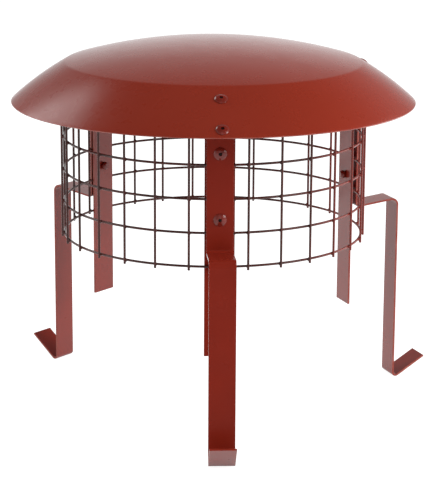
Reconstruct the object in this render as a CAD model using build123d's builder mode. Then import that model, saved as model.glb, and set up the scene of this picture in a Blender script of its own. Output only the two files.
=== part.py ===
from build123d import *
from math import acos, asin, ceil, cos, degrees, hypot, radians, sin, sqrt, tan
import os

# A domed chimney cap with a bird guard. A spun sheet dome stands on three folded strip legs,
# and a ring of welded wire mesh closes the space between the dome and the pot. Each leg is an
# outer strap folded over the pot's rim and an inner strap that goes down into the pot, with the
# mesh clamped between them by blind rivets.
# The origin is on the cap's axis, level with the undersides of the three feet. Azimuths are in
# degrees round the axis, from 0 at the front (-Y) towards the right (+X).

# Stock
sheet_thickness = 1.0
strap_thickness = 1.5
wire_diameter = 1.8
contact_gap = 0.05
rivet_hole_clearance = 0.2

# Wire mesh
mesh_pitch = 25.0
hoop_count = 6
hoop_radius = 114.2
upright_stub = 2.2
hoop_lap = 7.0
lap_bend_radius = 6.0
lap_clearance = 0.5

# Dome
crease_inset = 1.2
brim_reach = 41.0
brim_drop = 29.7
crown_rise = 16.3
crease_fillet = 10.0
mesh_headroom = 2.6

# Legs: the azimuth of each leg's straps, its slot for the pot's wall and the angle at which its
# foot is bent up
front_azimuth = 2.71
right_azimuth = 111.2
left_azimuth = 232.6
front_pot_slot = 50.0
right_pot_slot = 40.0
left_pot_slot = 42.0
front_foot_angle = 43.0
right_foot_angle = 31.0
left_foot_angle = 38.0
outer_strap_width = 19.5
inner_strap_width = 22.0
inner_strap_length = 193.9
bridge_height = 145.0
bridge_slope = 7.0
mesh_overhang = 11.7
tab_setback = 2.2
tab_fold_radius = 1.5
bridge_fold_radius = 2.0
shoulder_radius = 4.0
foot_fold_radius = 1.8
foot_length = 27.0

# Blind rivets
rivet_shank = 4.8
rivet_head = 9.4
rivet_head_height = 2.0
rivet_head_edge = 0.4
mandrel_hole = 2.6
mandrel_depth = 1.4
rivet_tail = 6.4
rivet_tail_end = 4.2
rivet_tail_length = 4.0
rivet_seam_gap = 1.2
fold_to_rivet = 6.6
rim_to_rivet = 5.6
low_rivet_hoop = 2
low_rivet_rise = 10.7
high_rivet_hoop = 4
high_rivet_rise = 9.0

# The mesh: uprights stand on the outside of the hoops and touch them
wire_radius = wire_diameter / 2
upright_radius = hoop_radius + wire_diameter
mesh_outside = upright_radius + wire_radius
pitch_angle = degrees(mesh_pitch / hoop_radius)
upright_count = ceil(360 / pitch_angle)
rivet_side = degrees(asin((rivet_shank / 2 + wire_radius + rivet_seam_gap) / upright_radius))
first_upright = front_azimuth - rivet_side
upright_azimuths = [first_upright + index * pitch_angle for index in range(upright_count)]
mesh_bottom = bridge_height - mesh_overhang
hoop_heights = [mesh_bottom + index * mesh_pitch for index in range(hoop_count)]
mesh_top = hoop_heights[-1] + wire_radius

# The brim swells a little: it is a band of a sphere whose centre is on the axis
crease_radius = hoop_radius - crease_inset
rim_radius = crease_radius + brim_reach
crease_above_centre = (rim_radius**2 - crease_radius**2 + brim_drop**2) / (2 * brim_drop)
brim_sphere = hypot(crease_radius, crease_above_centre)
brim_over_mesh = sqrt((brim_sphere - sheet_thickness) ** 2 - mesh_outside**2)
brim_centre = mesh_top + mesh_headroom - brim_over_mesh
crease_height = brim_centre + crease_above_centre
rim_height = crease_height - brim_drop
crown_sphere = (crease_radius**2 + crown_rise**2) / (2 * crown_rise)

# The straps: a flat tab needs room for its edges under the round brim, and a flat inner strap
# touches the round hoops along its edges
brim_gap = (outer_strap_width / 2) ** 2 / (2 * mesh_outside)
tab_arc = brim_sphere - sheet_thickness - brim_gap
inner_strap_face = sqrt((hoop_radius - wire_radius) ** 2 - (inner_strap_width / 2) ** 2) - contact_gap
rivet_radii = {
    "upper": mesh_outside + strap_thickness + fold_to_rivet,
    "lower": rim_radius - rim_to_rivet,
}
rivet_heights = {
    "upper": hoop_heights[high_rivet_hoop - 1] + high_rivet_rise,
    "lower": hoop_heights[low_rivet_hoop - 1] + low_rivet_rise,
}
rivet_hole = (rivet_shank + rivet_hole_clearance) / 2


def around(radius, azimuth, height=0.0):
    """The point at this radius, azimuth and height."""
    turn = radians(azimuth)
    return (radius * sin(turn), -radius * cos(turn), height)


def sideways(azimuth):
    """The level direction across a strap, towards growing azimuth."""
    return around(1.0, azimuth + 90)


def profile_plane(azimuth):
    """The upright plane through the axis, with X outward and Y up."""
    return Plane(origin=(0, 0, 0), x_dir=around(1.0, azimuth), z_dir=around(1.0, azimuth - 90))


def brim_point(radius, depth=0.0):
    """The profile point at this radius, this deep below the brim's outer face."""
    return (radius, brim_centre + sqrt((brim_sphere - depth) ** 2 - radius**2))


def brim_seat(radius, azimuth):
    """The plane that touches the brim's outer face there, with Z outward."""
    height = brim_point(radius)[1]
    return Plane(
        origin=around(radius, azimuth, height),
        x_dir=sideways(azimuth),
        z_dir=around(radius, azimuth, height - brim_centre),
    )


def strap_seat(radius, azimuth, height):
    """The upright plane across a strap at this radius, with Z outward."""
    return Plane(
        origin=around(radius, azimuth, height),
        x_dir=sideways(azimuth),
        z_dir=around(1.0, azimuth),
    )


def strap_azimuth(wanted):
    """The wanted azimuth, or the nearest one at which the rivets clear the uprights."""
    row, past = divmod(wanted - first_upright, pitch_angle)
    return first_upright + row * pitch_angle + min(max(past, rivet_side), pitch_angle - rivet_side)


def strap_face(azimuth):
    """How far out a strap's inner face lies: on an upright, or on the hoops between two."""
    reach = asin((outer_strap_width / 2 + wire_radius) / upright_radius)
    for upright in upright_azimuths:
        if cos(radians(azimuth - upright)) > cos(reach):
            return mesh_outside
    return hoop_radius + wire_radius


def export(builder, name):
    """Label the finished piece and write it."""
    builder.part.label = name
    export_step(builder.part, f"parts/{name}.step")


os.makedirs("parts", exist_ok=True)
leg_azimuths = {
    "front": front_azimuth,
    "right": strap_azimuth(right_azimuth),
    "left": strap_azimuth(left_azimuth),
}

# Dome cap: one spun sheet, with the crown and the brim meeting at a soft crease
with BuildPart() as dome_cap:
    with BuildSketch(Plane.XZ):
        with BuildLine() as dome_line:
            RadiusArc((0, crease_height + crown_rise), (crease_radius, crease_height), crown_sphere)
            RadiusArc((crease_radius, crease_height), (rim_radius, rim_height), brim_sphere)
            fillet(dome_line.vertices().sort_by(Axis.X)[1], crease_fillet)
            offset(amount=sheet_thickness, side=Side.RIGHT)
        make_face()
    revolve(axis=Axis.Z)
    for azimuth in leg_azimuths.values():
        for radius in rivet_radii.values():
            with Locations(brim_seat(radius, azimuth)):
                Hole(rivet_hole, depth=2 * sheet_thickness)
export(dome_cap, "dome_cap")

# Mesh hoops: each wire runs once round, then steps out over its own start and lies on it.
# The step is two equal bends, whose centres are one bend diameter apart.
step_start = first_upright + degrees((wire_diameter + lap_clearance) / hoop_radius)
centre_out = hoop_radius + lap_bend_radius
centre_in = upright_radius - lap_bend_radius
step_cosine = (centre_out**2 + centre_in**2 - (2 * lap_bend_radius) ** 2) / (2 * centre_out * centre_in)
step_end = step_start + degrees(acos(step_cosine))
lap_end = step_end + degrees(hoop_lap / upright_radius)
ring_end = around(hoop_radius, step_start)[:2]
bend_out = around(centre_out, step_start)
bend_in = around(centre_in, step_end)
halfway = ((bend_out[0] + bend_in[0]) / 2, (bend_out[1] + bend_in[1]) / 2)
lap_begin = around(upright_radius, step_end)[:2]
for number, height in enumerate(hoop_heights, start=1):
    with BuildPart() as hoop:
        with BuildLine(Plane.XY.offset(height)) as hoop_path:
            CenterArc((0, 0), hoop_radius, step_end - 90, 360 + step_start - step_end)
            RadiusArc(ring_end, halfway, lap_bend_radius)
            RadiusArc(halfway, lap_begin, -lap_bend_radius)
            CenterArc((0, 0), upright_radius, step_end - 90, lap_end - step_end)
        start = around(hoop_radius, step_end, height)
        with BuildSketch(Plane(origin=start, z_dir=sideways(step_end))):
            Circle(wire_radius)
        sweep(path=hoop_path.line)
    export(hoop, f"mesh_hoop_{number}")

# Mesh uprights: straight wires, flush above the top hoop and cut just below the bottom one
for number, azimuth in enumerate(upright_azimuths, start=1):
    with BuildPart() as upright:
        with BuildSketch(Plane.XY.offset(mesh_bottom - upright_stub)):
            with Locations(around(upright_radius, azimuth)[:2]):
                Circle(wire_radius)
        extrude(amount=mesh_top - mesh_bottom + upright_stub)
    export(upright, f"mesh_upright_{number:02d}")

# Outer straps: a tab under the brim, a run down the mesh, a bridge over the pot's rim, a lower
# leg down the outside of the pot and a foot bent up like a hook
for name, pot_slot, foot_angle in (
    ("front", front_pot_slot, front_foot_angle),
    ("right", right_pot_slot, right_foot_angle),
    ("left", left_pot_slot, left_foot_angle),
):
    azimuth = leg_azimuths[name]
    face = strap_face(azimuth)
    leg_face = inner_strap_face + pot_slot
    fold = tab_fold_radius + strap_thickness
    fold_z = brim_centre + sqrt((tab_arc - fold) ** 2 - (face + fold) ** 2)
    tab_root = brim_point((face + fold) * tab_arc / (tab_arc - fold), sheet_thickness + brim_gap)
    tab_tip = brim_point(rim_radius - tab_setback, sheet_thickness + brim_gap)
    bridge_under = bridge_height - strap_thickness / cos(radians(bridge_slope))
    shoulder_z = bridge_under + (leg_face - face - strap_thickness) * tan(radians(bridge_slope))
    foot_fold = foot_fold_radius + strap_thickness
    foot_turn = foot_fold * tan(radians(90 + foot_angle) / 2)
    foot_corner = (leg_face, foot_fold - foot_turn)
    foot_run = foot_turn + foot_length
    foot_tip = (
        leg_face + foot_run * cos(radians(foot_angle)),
        foot_corner[1] + foot_run * sin(radians(foot_angle)),
    )
    with BuildPart() as outer_strap:
        with BuildSketch(profile_plane(azimuth)):
            with BuildLine():
                RadiusArc(tab_tip, tab_root, -tab_arc)
                RadiusArc(tab_root, (face, fold_z), -fold)
                FilletPolyline(
                    (face, fold_z),
                    (face, bridge_under - strap_thickness * tan(radians(bridge_slope))),
                    (leg_face, shoulder_z),
                    foot_corner,
                    foot_tip,
                    radius=(bridge_fold_radius + strap_thickness, shoulder_radius, foot_fold),
                )
                offset(amount=strap_thickness, side=Side.LEFT)
            make_face()
        extrude(amount=outer_strap_width / 2, both=True)
        for radius in rivet_radii.values():
            with Locations(brim_seat(radius, azimuth)):
                Hole(rivet_hole, depth=sheet_thickness + brim_gap + 2 * strap_thickness)
        for height in rivet_heights.values():
            with Locations(strap_seat(face, azimuth, height)):
                Hole(rivet_hole, depth=2 * strap_thickness)
    export(outer_strap, f"outer_strap_{name}")

# Inner straps: straight strips inside the mesh, from its top edge down into the pot
for name, azimuth in leg_azimuths.items():
    with BuildPart() as inner_strap:
        middle = mesh_top - inner_strap_length / 2
        with BuildSketch(strap_seat(inner_strap_face, azimuth, middle)):
            Rectangle(inner_strap_width, inner_strap_length)
        extrude(amount=-strap_thickness)
        for height in rivet_heights.values():
            with Locations(strap_seat(inner_strap_face, azimuth, height)):
                Hole(rivet_hole, depth=2 * strap_thickness)
    export(inner_strap, f"inner_strap_{name}")


def export_rivet(seat, grip, name):
    """A set blind rivet: a domed head on the seat plane, and a bulged tail past the grip."""
    head_radius = rivet_head / 2
    head_dome = rivet_head_height - rivet_head_edge
    dome_arc = (head_radius**2 + head_dome**2) / (2 * head_dome)
    hole_radius = mandrel_hole / 2
    hole_top = rivet_head_height - dome_arc + sqrt(dome_arc**2 - hole_radius**2)
    hole_bottom = rivet_head_height - mandrel_depth
    tail_bottom = -grip - rivet_tail_length
    section = Plane(origin=seat.origin, x_dir=seat.x_dir, z_dir=seat.x_dir.cross(seat.z_dir))
    with BuildPart() as rivet:
        with BuildSketch(section):
            with BuildLine():
                Line((0, tail_bottom), (0, hole_bottom))
                Polyline((0, hole_bottom), (hole_radius, hole_bottom), (hole_radius, hole_top))
                RadiusArc((hole_radius, hole_top), (head_radius, rivet_head_edge), dome_arc)
                Polyline((head_radius, rivet_head_edge), (head_radius, 0), (rivet_shank / 2, 0))
                Line((rivet_shank / 2, 0), (rivet_shank / 2, -grip))
                ThreePointArc(
                    (rivet_shank / 2, -grip),
                    (rivet_tail / 2, -grip - rivet_tail_length / 2),
                    (rivet_tail_end / 2, tail_bottom),
                )
                Line((rivet_tail_end / 2, tail_bottom), (0, tail_bottom))
            make_face()
        revolve(axis=Axis(seat.origin, seat.z_dir))
    export(rivet, name)


# Rivets: two through the brim and the tab on each leg, two through both straps and the mesh
for name, azimuth in leg_azimuths.items():
    face = strap_face(azimuth)
    brim_grip = sheet_thickness + brim_gap + strap_thickness
    strap_grip = face + strap_thickness - (inner_strap_face - strap_thickness)
    for place, radius in rivet_radii.items():
        export_rivet(brim_seat(radius, azimuth), brim_grip, f"brim_rivet_{name}_{place}")
    for place, height in rivet_heights.items():
        seat = strap_seat(face + strap_thickness, azimuth, height)
        export_rivet(seat, strap_grip, f"strap_rivet_{name}_{place}")
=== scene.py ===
from math import asin, atan2, cos, hypot, pi, radians, sin, sqrt

import bmesh
import bpy
from mathutils import Matrix, Vector


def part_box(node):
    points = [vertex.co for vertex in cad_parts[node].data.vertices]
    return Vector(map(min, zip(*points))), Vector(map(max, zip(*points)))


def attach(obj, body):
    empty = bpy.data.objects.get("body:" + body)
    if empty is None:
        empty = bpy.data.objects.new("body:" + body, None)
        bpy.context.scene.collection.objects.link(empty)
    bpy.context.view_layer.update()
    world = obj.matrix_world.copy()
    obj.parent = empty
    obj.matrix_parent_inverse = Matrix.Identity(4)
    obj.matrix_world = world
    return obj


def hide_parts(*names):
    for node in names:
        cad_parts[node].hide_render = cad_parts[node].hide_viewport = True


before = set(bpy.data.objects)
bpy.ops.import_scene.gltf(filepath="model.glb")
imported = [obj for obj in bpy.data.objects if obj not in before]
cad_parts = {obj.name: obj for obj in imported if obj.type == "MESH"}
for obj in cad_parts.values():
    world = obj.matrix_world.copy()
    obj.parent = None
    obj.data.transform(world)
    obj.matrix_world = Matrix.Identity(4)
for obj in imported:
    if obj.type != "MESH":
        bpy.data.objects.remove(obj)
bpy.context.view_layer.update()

# Dome cap
# One disc of steel sheet, spun over a former into a low crown, a soft crease and a brim that
# swells a little, then painted terracotta red. The paint has rounded its cut edge, which carries a
# paler paint as a painted highlight. Six rivets hold the tabs of the three outer straps under the
# brim.
mm = 0.001
sheet = 1.0 * mm
crown_rise = 16.3 * mm
brim_drop = 29.7 * mm
crease_radius = 113.0 * mm
crease_fillet = 10.0 * mm
rim_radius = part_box("dome_cap")[1][0]
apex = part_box("dome_cap")[1][2]
crease_height = apex - crown_rise
crown_sphere = (crease_radius**2 + crown_rise**2) / (2 * crown_rise)
crown_centre = apex - crown_sphere
crease_above_centre = (rim_radius**2 - crease_radius**2 + brim_drop**2) / (2 * brim_drop)
brim_sphere = hypot(crease_radius, crease_above_centre)
brim_centre = crease_height - crease_above_centre
spin_segments = 240
ring_spacing = 3.2 * mm
crease_rings = 6
edge_rings = 8
seam_distance = 0.02 * mm
patch_contrast = (0.35, 0.68)
smear_scale = 75.0
smear_contrast = (0.3, 0.7)
coat_roughness = 0.22
brim_rivet_radii = {"upper": 125.0 * mm, "lower": 148.4 * mm}


def around(radius, azimuth, height=0.0):
    """The point at this radius, azimuth and height, with azimuth 0 at the front."""
    return Vector((radius * sin(azimuth), -radius * cos(azimuth), height))


def arc_points(centre, radius, begin, end, steps):
    """Points (radius, height) along an arc whose angles are measured from straight up."""
    points = []
    for step in range(steps + 1):
        angle = begin + (end - begin) * step / steps
        points.append((centre[0] + radius * sin(angle), centre[1] + radius * cos(angle)))
    return points


def dome_line():
    """The spun sheet's section, from the apex out to the rim and back under it to the axis."""
    crown_reach = crown_sphere - crease_fillet
    brim_reach = brim_sphere - crease_fillet
    fillet_height = (crown_centre**2 - brim_centre**2 - crown_reach**2 + brim_reach**2) / (
        2 * (crown_centre - brim_centre)
    )
    fillet_radius = sqrt(brim_reach**2 - (fillet_height - brim_centre) ** 2)
    crown_end = asin(fillet_radius / crown_reach)
    brim_begin = asin(fillet_radius / brim_reach)
    brim_end = asin(rim_radius / brim_sphere) - sheet / 2 / brim_sphere
    crown = (0.0, crown_centre)
    crease = (fillet_radius, fillet_height)
    brim = (0.0, brim_centre)
    middle = brim_sphere - sheet / 2
    edge = (middle * sin(brim_end), brim_centre + middle * cos(brim_end))
    crown_rings = int(crease_radius / ring_spacing)
    brim_rings = int((rim_radius - crease_radius) / ring_spacing)
    stretches = (
        arc_points(crown, crown_sphere, 0.0, crown_end, crown_rings),
        arc_points(crease, crease_fillet, crown_end, brim_begin, crease_rings),
        arc_points(brim, brim_sphere, brim_begin, brim_end, brim_rings),
        arc_points(edge, sheet / 2, brim_end, brim_end + pi, edge_rings),
        arc_points(brim, brim_sphere - sheet, brim_end, brim_begin, brim_rings),
        arc_points(crease, crease_fillet - sheet, brim_begin, crown_end, crease_rings),
        arc_points(crown, crown_sphere - sheet, crown_end, 0.0, crown_rings),
    )
    line = [stretches[0][0]]
    for stretch in stretches:
        line += stretch[1:]
    return line


def new_tree(name, sizes):
    """A Geometry Nodes tree with a geometry in and out, and a named input for each size."""
    tree = bpy.data.node_groups.new(name, "GeometryNodeTree")
    sockets = tree.interface
    sockets.new_socket("Geometry", in_out="INPUT", socket_type="NodeSocketGeometry")
    for label, kind in sizes.items():
        sockets.new_socket(label, in_out="INPUT", socket_type="NodeSocket" + kind)
    sockets.new_socket("Geometry", in_out="OUTPUT", socket_type="NodeSocketGeometry")
    return tree


def add_node(tree, kind, inputs=None, **settings):
    """A node with its settings, and its inputs set to values or linked to other sockets."""
    node = tree.nodes.new(kind)
    for setting, value in settings.items():
        setattr(node, setting, value)
    for label, value in (inputs or {}).items():
        if isinstance(value, bpy.types.NodeSocket):
            tree.links.new(value, node.inputs[label])
        else:
            node.inputs[label].default_value = value
    return node


def finish_tree(tree, geometry, material):
    """Close a tree with Realize Instances and Set Material."""
    plain = add_node(tree, "GeometryNodeRealizeInstances", {"Geometry": geometry})
    coated = add_node(
        tree, "GeometryNodeSetMaterial", {"Geometry": plain.outputs[0], "Material": material}
    )
    add_node(tree, "NodeGroupOutput", {"Geometry": coated.outputs[0]})


def grow(name, points, edges, tree, values, attributes=None):
    """A plain mesh object that the tree makes from these points and edges."""
    seed = bpy.data.meshes.new(name + "_seed")
    seed.from_pydata(points, edges, [])
    for label, vectors in (attributes or {}).items():
        column = seed.attributes.new(label, "FLOAT_VECTOR", "POINT")
        for index, vector in enumerate(vectors):
            column.data[index].vector = vector
    builder = bpy.data.objects.new(name + "_builder", seed)
    bpy.context.scene.collection.objects.link(builder)
    modifier = builder.modifiers.new(name, "NODES")
    modifier.node_group = tree
    for socket in tree.interface.items_tree:
        if socket.in_out == "INPUT" and socket.name in values:
            modifier[socket.identifier] = values[socket.name]
    graph = bpy.context.evaluated_depsgraph_get()
    mesh = bpy.data.meshes.new_from_object(builder.evaluated_get(graph))
    bpy.data.objects.remove(builder)
    mesh.name = name
    # A primitive in the tree brings an empty slot with it, so the paint is made the only one.
    mesh.materials.clear()
    mesh.materials.append(values["Paint"])
    mesh.polygons.foreach_set("material_index", [0] * len(mesh.polygons))
    piece = bpy.data.objects.new(name, mesh)
    bpy.context.scene.collection.objects.link(piece)
    return piece


def paint_film():
    """The paint's node group: colour in patches, gloss in smears and a fine orange peel."""
    group = bpy.data.node_groups.new("paint_film", "ShaderNodeTree")
    sockets = group.interface
    for label, kind in (
        ("Paint", "Color"),
        ("Thin Paint", "Color"),
        ("Patch Scale", "Float"),
        ("Gloss Low", "Float"),
        ("Gloss High", "Float"),
        ("Peel Scale", "Float"),
    ):
        sockets.new_socket(label, in_out="INPUT", socket_type="NodeSocket" + kind)
    sockets.new_socket("Color", in_out="OUTPUT", socket_type="NodeSocketColor")
    sockets.new_socket("Roughness", in_out="OUTPUT", socket_type="NodeSocketFloat")
    sockets.new_socket("Height", in_out="OUTPUT", socket_type="NodeSocketFloat")
    given = add_node(group, "NodeGroupInput").outputs
    place = add_node(group, "ShaderNodeTexCoord").outputs["Object"]
    patches = add_node(
        group, "ShaderNodeTexNoise", {"Vector": place, "Scale": given["Patch Scale"], "Detail": 2.0}
    )
    cover = add_node(
        group,
        "ShaderNodeMapRange",
        {
            "Value": patches.outputs["Fac"],
            "From Min": patch_contrast[0],
            "From Max": patch_contrast[1],
        },
    )
    colour = add_node(
        group,
        "ShaderNodeMix",
        {0: cover.outputs["Result"], 6: given["Paint"], 7: given["Thin Paint"]},
        data_type="RGBA",
    )
    smears = add_node(
        group, "ShaderNodeTexNoise", {"Vector": place, "Scale": smear_scale, "Detail": 4.0}
    )
    gloss = add_node(
        group,
        "ShaderNodeMapRange",
        {
            "Value": smears.outputs["Fac"],
            "From Min": smear_contrast[0],
            "From Max": smear_contrast[1],
            "To Min": given["Gloss Low"],
            "To Max": given["Gloss High"],
        },
    )
    peel = add_node(
        group,
        "ShaderNodeTexNoise",
        {"Vector": place, "Scale": given["Peel Scale"], "Detail": 1.5, "Roughness": 0.4},
    )
    add_node(
        group,
        "NodeGroupOutput",
        {
            "Color": colour.outputs[2],
            "Roughness": gloss.outputs["Result"],
            "Height": peel.outputs["Fac"],
        },
    )
    return group


film = paint_film()


def painted(
    name,
    paint,
    thin_paint,
    patch_scale,
    gloss,
    peel_scale,
    peel_height,
    face_gloss,
    slant_gloss,
    coat_index=1.5,
):
    """A material of this paint. Lengths are metres, and a scale is patches to the metre.

    face_gloss is the shine seen square on. slant_gloss is the extra shine seen at a slant: the
    slants at which it begins and is full, from 0 square on to 1 edge on, and its weight. A
    higher coat_index spreads that shine more evenly over the slants.
    """
    material = bpy.data.materials.new(name)
    material.use_nodes = True
    tree = material.node_tree
    tree.nodes.clear()
    coat = add_node(
        tree,
        "ShaderNodeGroup",
        {
            "Paint": (*paint, 1.0),
            "Thin Paint": (*thin_paint, 1.0),
            "Patch Scale": patch_scale,
            "Gloss Low": gloss[0],
            "Gloss High": gloss[1],
            "Peel Scale": peel_scale,
        },
        node_tree=film,
    )
    bump = add_node(
        tree,
        "ShaderNodeBump",
        {"Height": coat.outputs["Height"], "Distance": peel_height, "Strength": 1.0},
    )
    slant = add_node(tree, "ShaderNodeLayerWeight", {"Blend": 0.5})
    shine = add_node(
        tree,
        "ShaderNodeMapRange",
        {
            "Value": slant.outputs["Facing"],
            "From Min": slant_gloss[0],
            "From Max": slant_gloss[1],
            "To Max": slant_gloss[2],
        },
    )
    shader = add_node(
        tree,
        "ShaderNodeBsdfPrincipled",
        {
            "Base Color": coat.outputs["Color"],
            "Roughness": coat.outputs["Roughness"],
            "Normal": bump.outputs["Normal"],
            "Specular IOR Level": face_gloss,
            "Coat Weight": shine.outputs["Result"],
            "Coat Roughness": coat_roughness,
            "Coat IOR": coat_index,
        },
    )
    add_node(tree, "ShaderNodeOutputMaterial", {"Surface": shader.outputs["BSDF"]})
    return material


dome_paint = painted(
    "terracotta_dome",
    paint=(0.228, 0.0215, 0.0090),
    thin_paint=(0.242, 0.0238, 0.0102),
    patch_scale=9.0,
    gloss=(0.26, 0.30),
    peel_scale=800.0,
    peel_height=0.035 * mm,
    face_gloss=0.17,
    slant_gloss=(0.70, 0.96, 0.8),
)

# Painted highlight: a paler, pinker paint for the dome's rim and the straps' sheared edges.
edge_paint_and_highlight = painted(
    "terracotta_edge_and_highlight",
    paint=(0.250, 0.030, 0.018),
    thin_paint=(0.340, 0.085, 0.062),
    patch_scale=90.0,
    gloss=(0.20, 0.34),
    peel_scale=600.0,
    peel_height=0.008 * mm,
    face_gloss=0.3,
    slant_gloss=(0.25, 0.75, 0.9),
)

leg_azimuths = {}
for leg in ("front", "right", "left"):
    low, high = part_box(f"inner_strap_{leg}")
    leg_azimuths[leg] = atan2(low[0] + high[0], -low[1] - high[1])
brim_seats = {}
for leg, azimuth in leg_azimuths.items():
    for row, radius in brim_rivet_radii.items():
        facing = around(radius, azimuth, sqrt(brim_sphere**2 - radius**2)).normalized()
        seat = Vector((0.0, 0.0, brim_centre)) + brim_sphere * facing
        brim_seats[f"brim_rivet_{leg}_{row}"] = (seat, facing)

spin = new_tree(
    "spin_sheet",
    {
        "Spin Radius": "Float",
        "Segments": "Int",
        "Seam Distance": "Float",
        "Paint": "Material",
    },
)
spin_inputs = add_node(spin, "NodeGroupInput").outputs
turn = add_node(
    spin,
    "GeometryNodeCurvePrimitiveCircle",
    {"Resolution": spin_inputs["Segments"], "Radius": spin_inputs["Spin Radius"]},
)
section = add_node(spin, "GeometryNodeMeshToCurve", {"Mesh": spin_inputs["Geometry"]})
shell = add_node(
    spin,
    "GeometryNodeCurveToMesh",
    {"Curve": turn.outputs["Curve"], "Profile Curve": section.outputs["Curve"]},
)
closed = add_node(
    spin,
    "GeometryNodeMergeByDistance",
    {"Geometry": shell.outputs["Mesh"], "Distance": spin_inputs["Seam Distance"]},
)
smooth = add_node(spin, "GeometryNodeSetShadeSmooth", {"Geometry": closed.outputs["Geometry"]})
finish_tree(spin, smooth.outputs["Geometry"], spin_inputs["Paint"])

section_line = dome_line()
dome = grow(
    "spun_dome",
    [(radius - crease_radius, -height, 0.0) for radius, height in section_line],
    [(index, index + 1) for index in range(len(section_line) - 1)],
    spin,
    {
        "Spin Radius": crease_radius,
        "Segments": spin_segments,
        "Seam Distance": seam_distance,
        "Paint": dome_paint,
    },
)
dome.data.materials.append(edge_paint_and_highlight)
# The rim takes the paler edge paint, a painted highlight.
for polygon in dome.data.polygons:
    if hypot(polygon.center.x, polygon.center.y) > rim_radius - sheet:
        polygon.material_index = 1
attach(dome, "root")
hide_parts("dome_cap")

# Welded mesh
# Steel wire welded into a square mesh, cut to length and rolled round until the hoops lap. The
# uprights stand outside the hoops and end in cut stubs just below the lowest hoop. The paint is
# thin and dark on them, and redder towards the right: a painted light, for the light that falls
# more on that side.
wire_radius = 0.9 * mm
hoop_radius = 114.2 * mm
upright_radius = hoop_radius + 2 * wire_radius
# Painted light: the wires are coloured redder from here to the right, for the light on that side.
painted_light_begin = 62.0 * mm
painted_light_full = 104.0 * mm
painted_light_colour = (0.190, 0.026, 0.018)
wire_paint = painted(
    "terracotta_wire",
    paint=(0.046, 0.014, 0.011),
    thin_paint=(0.085, 0.018, 0.014),
    patch_scale=45.0,
    gloss=(0.16, 0.26),
    peel_scale=600.0,
    peel_height=0.004 * mm,
    face_gloss=0.25,
    slant_gloss=(0.4, 0.9, 0.2),
)
wire_tree = wire_paint.node_tree
wire_shader = next(node for node in wire_tree.nodes if node.type == "BSDF_PRINCIPLED")
wire_film = next(node for node in wire_tree.nodes if node.type == "GROUP")
wire_place = add_node(wire_tree, "ShaderNodeTexCoord").outputs["Object"]
wire_side = add_node(wire_tree, "ShaderNodeSeparateXYZ", {"Vector": wire_place})
# The painted light: a fade along X from the dark wire paint to the redder one.
painted_light_fade = add_node(
    wire_tree,
    "ShaderNodeMapRange",
    {"Value": wire_side.outputs["X"], "From Min": painted_light_begin, "From Max": painted_light_full},
    interpolation_type="SMOOTHSTEP",
)
painted_light_mix = add_node(
    wire_tree,
    "ShaderNodeMix",
    {0: painted_light_fade.outputs["Result"], 6: wire_film.outputs["Color"], 7: (*painted_light_colour, 1.0)},
    data_type="RGBA",
)
wire_tree.links.new(painted_light_mix.outputs[2], wire_shader.inputs["Base Color"])


def repaint(name, material):
    """Give a carried-over node its finish."""
    for material_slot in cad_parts[name].material_slots:
        material_slot.material = material


hoops = sorted(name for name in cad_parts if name.startswith("mesh_hoop"))
uprights = sorted(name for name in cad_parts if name.startswith("mesh_upright"))
for name in hoops + uprights:
    repaint(name, wire_paint)

hoop_heights = [(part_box(name)[0][2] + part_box(name)[1][2]) / 2 for name in hoops]
upright_azimuths = []
for name in uprights:
    low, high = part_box(name)
    upright_azimuths.append(atan2(low[0] + high[0], -low[1] - high[1]))

# Welds and cut tips
# At each crossing the two wires are sunk into one another, and the paint fills the corner round
# the weld. The uprights' sheared ends carry a rounded drop of paint.
weld_size = Vector((1.45, 1.45, 1.0)) * mm
weld_spread = 0.15
weld_seed = 7
tip_size = Vector((0.96, 0.96, 0.7)) * mm
bead_subdivisions = 3
beads = new_tree(
    "scatter_beads",
    {
        "Bead Size": "Vector",
        "Spread": "Float",
        "Seed": "Int",
        "Paint": "Material",
    },
)
bead_inputs = add_node(beads, "NodeGroupInput").outputs
outward = add_node(
    beads, "GeometryNodeInputNamedAttribute", {"Name": "outward"}, data_type="FLOAT_VECTOR"
)
turned = add_node(
    beads, "FunctionNodeAlignRotationToVector", {"Vector": outward.outputs["Attribute"]}, axis="Z"
)
spread = bead_inputs["Spread"]
least = add_node(beads, "ShaderNodeMath", {0: 1.0, 1: spread}, operation="SUBTRACT")
most = add_node(beads, "ShaderNodeMath", {0: 1.0, 1: spread}, operation="ADD")
varied = add_node(
    beads,
    "FunctionNodeRandomValue",
    {2: least.outputs[0], 3: most.outputs[0], "Seed": bead_inputs["Seed"]},
    data_type="FLOAT",
)
bead_scale = add_node(
    beads,
    "ShaderNodeVectorMath",
    {0: bead_inputs["Bead Size"], "Scale": varied.outputs[1]},
    operation="SCALE",
)
ball = add_node(
    beads, "GeometryNodeMeshIcoSphere", {"Radius": 1.0, "Subdivisions": bead_subdivisions}
)
round_ball = add_node(beads, "GeometryNodeSetShadeSmooth", {"Geometry": ball.outputs["Mesh"]})
scattered = add_node(
    beads,
    "GeometryNodeInstanceOnPoints",
    {
        "Points": bead_inputs["Geometry"],
        "Instance": round_ball.outputs["Geometry"],
        "Rotation": turned.outputs["Rotation"],
        "Scale": bead_scale.outputs["Vector"],
    },
)
finish_tree(beads, scattered.outputs["Instances"], bead_inputs["Paint"])

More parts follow.
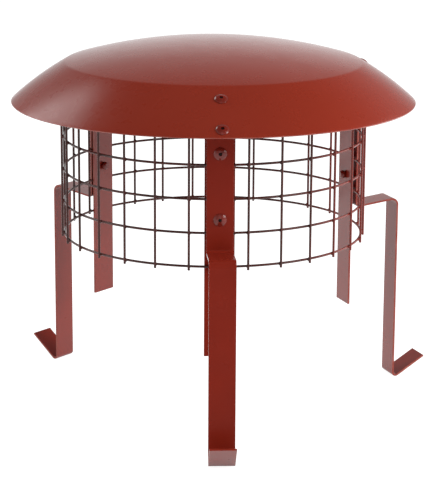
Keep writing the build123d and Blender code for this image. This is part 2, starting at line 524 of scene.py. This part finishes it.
crossings = []
crossing_axes = []
tips = []
upright_low, upright_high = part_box(uprights[0])
for azimuth in upright_azimuths:
    for height in hoop_heights:
        crossings.append(around(hoop_radius + wire_radius, azimuth, height))
        crossing_axes.append(around(1.0, azimuth))
    tips.append(around(upright_radius, azimuth, upright_low[2]))
    tips.append(around(upright_radius, azimuth, upright_high[2] - tip_size.z))
mesh_welds = grow(
    "mesh_welds",
    crossings,
    [],
    beads,
    {"Bead Size": weld_size, "Spread": weld_spread, "Seed": weld_seed, "Paint": wire_paint},
    {"outward": crossing_axes},
)
wire_tips = grow(
    "wire_tips",
    tips,
    [],
    beads,
    {"Bead Size": tip_size, "Spread": 0.0, "Seed": weld_seed, "Paint": wire_paint},
    {"outward": [(0.0, 0.0, 1.0)] * len(tips)},
)
for piece in (mesh_welds, wire_tips):
    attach(piece, "root")

# Outer straps
# Steel strip, sheared to length, punched and folded by hand on a bending jig: a tab under the
# brim, a run down the mesh, a bridge over the pot's rim, a leg and a hooked foot. The paint
# rounds the sheared edges over, and they carry a paler paint, a painted highlight for the light
# they catch.
strap_edge = 0.38 * mm
edge_segments = 3
edge_angle = radians(40)
flat_angle = radians(0.4)
side_facing = 0.99
merge_distance = 0.002 * mm
strap_paint = painted(
    "terracotta_strap",
    paint=(0.240, 0.0185, 0.0080),
    thin_paint=(0.210, 0.0170, 0.0080),
    patch_scale=22.0,
    gloss=(0.26, 0.36),
    peel_scale=480.0,
    peel_height=0.012 * mm,
    face_gloss=0.08,
    slant_gloss=(0.14, 0.50, 0.27),
    coat_index=3.0,
)


def rounded_strip(name, node, azimuth):
    """The node's own shape as one skin, with its sheared edges rounded over."""
    across = around(1.0, azimuth + pi / 2)
    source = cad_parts[node].data
    skin = bmesh.new()
    corners = [skin.verts.new(vertex.co) for vertex in source.vertices]
    for polygon in source.polygons:
        skin.faces.new([corners[index] for index in polygon.vertices])
    bmesh.ops.remove_doubles(skin, verts=skin.verts, dist=merge_distance)
    bmesh.ops.dissolve_limit(
        skin, angle_limit=flat_angle, verts=skin.verts, edges=skin.edges, delimit=set()
    )
    skin.normal_update()
    # The side faces take the paler edge paint, a painted highlight.
    for polygon in skin.faces:
        polygon.smooth = True
        polygon.material_index = int(abs(polygon.normal.dot(across)) > side_facing)
    rough = bpy.data.meshes.new(name + "_rough")
    rough.materials.append(strap_paint)
    rough.materials.append(edge_paint_and_highlight)
    skin.to_mesh(rough)
    skin.free()
    blank = bpy.data.objects.new(name + "_blank", rough)
    bpy.context.scene.collection.objects.link(blank)
    bevel = blank.modifiers.new("rounded_edge", "BEVEL")
    bevel.width = strap_edge
    bevel.segments = edge_segments
    bevel.limit_method = "ANGLE"
    bevel.angle_limit = edge_angle
    bevel.harden_normals = True
    # The rounded edges take the paler edge paint too, a painted highlight.
    bevel.material = 1
    graph = bpy.context.evaluated_depsgraph_get()
    mesh = bpy.data.meshes.new_from_object(blank.evaluated_get(graph))
    bpy.data.objects.remove(blank)
    mesh.name = name
    piece = bpy.data.objects.new(name, mesh)
    bpy.context.scene.collection.objects.link(piece)
    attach(piece, "root")
    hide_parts(node)


for leg, azimuth in leg_azimuths.items():
    rounded_strip(f"folded_strap_{leg}", f"outer_strap_{leg}", azimuth)

# Inner straps
# Wider straight strips inside the mesh, punched for the same rivets. They run on down into the
# pot and hold the cap central.
for leg, azimuth in leg_azimuths.items():
    rounded_strip(f"straight_strap_{leg}", f"inner_strap_{leg}", azimuth)

# Rivets
# Steel blind rivets, painted over with the rest: two through the brim and each tab, two through
# both straps and the mesh. The head's middle is open down to the snapped end of the mandrel,
# which is painted near black: a dark steel end, and a painted shade for the depth of the hole.
head_height = 2.0 * mm
mandrel_depth = 1.4 * mm
stub_height = 0.7 * mm
stub_radius = 1.2 * mm
stub_tip_radius = 0.75 * mm
stub_sides = 20
head_radius = 4.7 * mm
head_hole = 1.3 * mm
head_dome = 1.6 * mm
rivet_paint = painted(
    "terracotta_rivet",
    paint=(0.185, 0.016, 0.009),
    thin_paint=(0.145, 0.014, 0.008),
    patch_scale=160.0,
    gloss=(0.13, 0.18),
    peel_scale=700.0,
    peel_height=0.006 * mm,
    face_gloss=0.42,
    slant_gloss=(0.50, 0.95, 0.22),
)
# Painted shade, in part: the mandrel's end is near black, darker than steel, for the shade in the
# hole.
mandrel_steel_and_shade = painted(
    "snapped_mandrel_and_shade",
    paint=(0.010, 0.004, 0.004),
    thin_paint=(0.024, 0.012, 0.010),
    patch_scale=900.0,
    gloss=(0.35, 0.6),
    peel_scale=2600.0,
    peel_height=0.08 * mm,
    face_gloss=0.1,
    slant_gloss=(0.5, 1.0, 0.0),
)

rivet_seats = dict(brim_seats)
dome_arc = (head_radius**2 + head_dome**2) / (2 * head_dome)
open_height = head_height - dome_arc + sqrt(dome_arc**2 - head_hole**2)
for leg, azimuth in leg_azimuths.items():
    for row in ("upper", "lower"):
        name = f"strap_rivet_{leg}_{row}"
        facing = around(1.0, azimuth)
        low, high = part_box(name)
        reach = max(vertex.co.dot(facing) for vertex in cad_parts[name].data.vertices)
        seat = around(reach - open_height, azimuth, (low[2] + high[2]) / 2)
        rivet_seats[name] = (seat, facing)
for name in rivet_seats:
    repaint(name, rivet_paint)

stubs = new_tree(
    "place_stubs",
    {
        "Stub Sides": "Int",
        "Stub Radius": "Float",
        "Stub Tip": "Float",
        "Stub Height": "Float",
        "Stub Rise": "Float",
        "Paint": "Material",
    },
)
stub_inputs = add_node(stubs, "NodeGroupInput").outputs
outward = add_node(
    stubs, "GeometryNodeInputNamedAttribute", {"Name": "outward"}, data_type="FLOAT_VECTOR"
)
turned = add_node(
    stubs, "FunctionNodeAlignRotationToVector", {"Vector": outward.outputs["Attribute"]}, axis="Z"
)
stub = add_node(
    stubs,
    "GeometryNodeMeshCone",
    {
        "Vertices": stub_inputs["Stub Sides"],
        "Radius Top": stub_inputs["Stub Tip"],
        "Radius Bottom": stub_inputs["Stub Radius"],
        "Depth": stub_inputs["Stub Height"],
    },
)
lift = add_node(stubs, "ShaderNodeCombineXYZ", {"Z": stub_inputs["Stub Rise"]})
raised = add_node(
    stubs,
    "GeometryNodeTransform",
    {"Geometry": stub.outputs["Mesh"], "Translation": lift.outputs["Vector"]},
)
seated = add_node(
    stubs,
    "GeometryNodeInstanceOnPoints",
    {
        "Points": stub_inputs["Geometry"],
        "Instance": raised.outputs["Geometry"],
        "Rotation": turned.outputs["Rotation"],
    },
)
finish_tree(stubs, seated.outputs["Instances"], stub_inputs["Paint"])
mandrel_stubs = grow(
    "mandrel_stubs",
    [seat for seat, facing in rivet_seats.values()],
    [],
    stubs,
    {
        "Stub Sides": stub_sides,
        "Stub Radius": stub_radius,
        "Stub Tip": stub_tip_radius,
        "Stub Height": stub_height,
        "Stub Rise": head_height - mandrel_depth,
        "Paint": mandrel_steel_and_shade,
    },
    {"outward": [facing for seat, facing in rivet_seats.values()]},
)
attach(mandrel_stubs, "root")

# Floor and backdrop
# A pale floor that runs out of view, under an even white surround. The floor is white to the
# camera and in reflections, and the cap's soft shadow stays on it.
floor_reach = 6.0
floor_glow = 0.90
floor_shade = 0.34
floor_bounce = 0.8


def seen_directly(tree):
    """1 for a ray from the camera, a mirror or glass, and 0 for a ray that gathers light."""
    path = add_node(tree, "ShaderNodeLightPath").outputs
    either = add_node(
        tree,
        "ShaderNodeMath",
        {0: path["Is Camera Ray"], 1: path["Is Glossy Ray"]},
        operation="MAXIMUM",
    )
    return add_node(
        tree,
        "ShaderNodeMath",
        {0: either.outputs[0], 1: path["Is Transmission Ray"]},
        operation="MAXIMUM",
    ).outputs[0]


floor_mesh = bpy.data.meshes.new("studio_floor")
floor_mesh.from_pydata(
    [
        (-floor_reach, -floor_reach, 0.0),
        (floor_reach, -floor_reach, 0.0),
        (floor_reach, floor_reach, 0.0),
        (-floor_reach, floor_reach, 0.0),
    ],
    [],
    [(0, 1, 2, 3)],
)
pale = bpy.data.materials.new("pale_floor")
pale.use_nodes = True
pale.node_tree.nodes.clear()
lit = add_node(
    pale.node_tree,
    "ShaderNodeBsdfDiffuse",
    {"Color": (floor_bounce, floor_bounce, floor_bounce, 1.0)},
)
shaded = add_node(
    pale.node_tree,
    "ShaderNodeBsdfDiffuse",
    {"Color": (floor_shade, floor_shade, floor_shade, 1.0)},
)
glow = add_node(pale.node_tree, "ShaderNodeEmission", {"Strength": floor_glow})
white = add_node(
    pale.node_tree, "ShaderNodeAddShader", {0: shaded.outputs[0], 1: glow.outputs[0]}
)
mixed = add_node(
    pale.node_tree,
    "ShaderNodeMixShader",
    {0: seen_directly(pale.node_tree), 1: lit.outputs[0], 2: white.outputs[0]},
)
add_node(pale.node_tree, "ShaderNodeOutputMaterial", {"Surface": mixed.outputs[0]})
floor_mesh.materials.append(pale)
floor = bpy.data.objects.new("studio_floor", floor_mesh)
bpy.context.scene.collection.objects.link(floor)

# Studio light
# A grey-white surround for fill, which reflections see bright behind the cap and at its sides, and
# dimmer in between and overhead. Soft lamps on both sides lay a sheen on the dome and a glint on
# the rivets. The strongest is kept out of reflections, so that the crown keeps its colour.
level_light = 0.25
overhead_light = 0.64
horizon_glow = 1.10
overhead_glow = 0.18
overhead_fade = (0.35, 0.85)
wall_glow = [(0.06, 0.90), (0.34, 0.42), (0.60, 0.50), (0.85, 1.00)]
lamp_distance = 1.5
world = bpy.data.worlds.new("studio")
bpy.context.scene.world = world
world.use_nodes = True
world.node_tree.nodes.clear()
ray = add_node(world.node_tree, "ShaderNodeTexCoord").outputs["Generated"]
aimed = add_node(world.node_tree, "ShaderNodeSeparateXYZ", {"Vector": ray})
reflected = add_node(
    world.node_tree,
    "ShaderNodeMapRange",
    {
        "Value": aimed.outputs["Z"],
        "From Min": overhead_fade[0],
        "From Max": overhead_fade[1],
        "To Min": horizon_glow,
        "To Max": overhead_glow,
    },
    interpolation_type="SMOOTHSTEP",
)
sideways = add_node(
    world.node_tree, "ShaderNodeMath", {0: aimed.outputs["X"]}, operation="ABSOLUTE"
)
walls = add_node(world.node_tree, "ShaderNodeValToRGB", {"Fac": sideways.outputs[0]})
while len(walls.color_ramp.elements) < len(wall_glow):
    walls.color_ramp.elements.new(1.0)
for stop, (sideways_reach, level) in zip(walls.color_ramp.elements, wall_glow):
    stop.position = sideways_reach
    stop.color = (level, level, level, 1.0)
mirrored = add_node(
    world.node_tree,
    "ShaderNodeMath",
    {0: reflected.outputs["Result"], 1: walls.outputs["Color"]},
    operation="MULTIPLY",
)
path = add_node(world.node_tree, "ShaderNodeLightPath").outputs
direct = add_node(
    world.node_tree,
    "ShaderNodeMix",
    {0: path["Is Camera Ray"], 2: mirrored.outputs[0], 3: 1.0},
    data_type="FLOAT",
)
fill = add_node(
    world.node_tree,
    "ShaderNodeMapRange",
    {"Value": aimed.outputs["Z"], "To Min": level_light, "To Max": overhead_light},
)
strength = add_node(
    world.node_tree,
    "ShaderNodeMix",
    {0: seen_directly(world.node_tree), 2: fill.outputs["Result"], 3: direct.outputs[0]},
    data_type="FLOAT",
)
surround = add_node(
    world.node_tree,
    "ShaderNodeBackground",
    {"Color": (1.0, 1.0, 1.0, 1.0), "Strength": strength.outputs[0]},
)
add_node(world.node_tree, "ShaderNodeOutputWorld", {"Surface": surround.outputs[0]})
bpy.context.scene.view_settings.view_transform = "Standard"


def softbox(name, azimuth, elevation, size, power, in_reflections=True):
    """A square area lamp that faces the middle of the dome. It may be kept out of reflections."""
    light = bpy.data.lights.new(name, "AREA")
    light.shape = "SQUARE"
    light.size = size
    light.energy = power
    lamp = bpy.data.objects.new(name, light)
    aim = Vector((0.0, 0.0, crease_height))
    away = around(cos(radians(elevation)), radians(azimuth), sin(radians(elevation)))
    lamp.matrix_world = Matrix.Translation(aim + lamp_distance * away) @ (
        away.to_track_quat("Z", "Y").to_matrix().to_4x4()
    )
    lamp.visible_glossy = in_reflections
    bpy.context.scene.collection.objects.link(lamp)


softbox("right_light", azimuth=78, elevation=20, size=0.75, power=12.0, in_reflections=False)
softbox("right_glint", azimuth=57, elevation=22, size=0.60, power=8.2)
softbox("far_right_light", azimuth=108, elevation=10, size=1.0, power=6.0)
softbox("left_light", azimuth=-121, elevation=33, size=0.7, power=8.0)
softbox("low_left_light", azimuth=-74, elevation=6, size=0.8, power=4.5)

# Camera
# A long lens a little above the brim, turned very slightly, as the picture was taken.
frame_height = 500
focal_length = 2082
view_distance = 1.618
view_elevation = radians(14.29)
view_roll = radians(0.35)
view_target = Vector((6.43, 0.0, 116.73)) * mm
lens = bpy.data.cameras.new("camera")
lens.sensor_width = 36.0
lens.lens = lens.sensor_width * focal_length / frame_height
camera = bpy.data.objects.new("camera", lens)
backward = Vector((0.0, -cos(view_elevation), sin(view_elevation)))
level_up = Vector((0.0, sin(view_elevation), cos(view_elevation)))
level_right = Vector((1.0, 0.0, 0.0))
right = cos(view_roll) * level_right + sin(view_roll) * level_up
up = cos(view_roll) * level_up - sin(view_roll) * level_right
turn_to_view = Matrix((right, up, backward)).transposed().to_4x4()
camera.matrix_world = Matrix.Translation(view_target + view_distance * backward) @ turn_to_view
bpy.context.scene.collection.objects.link(camera)
bpy.context.scene.camera = camera
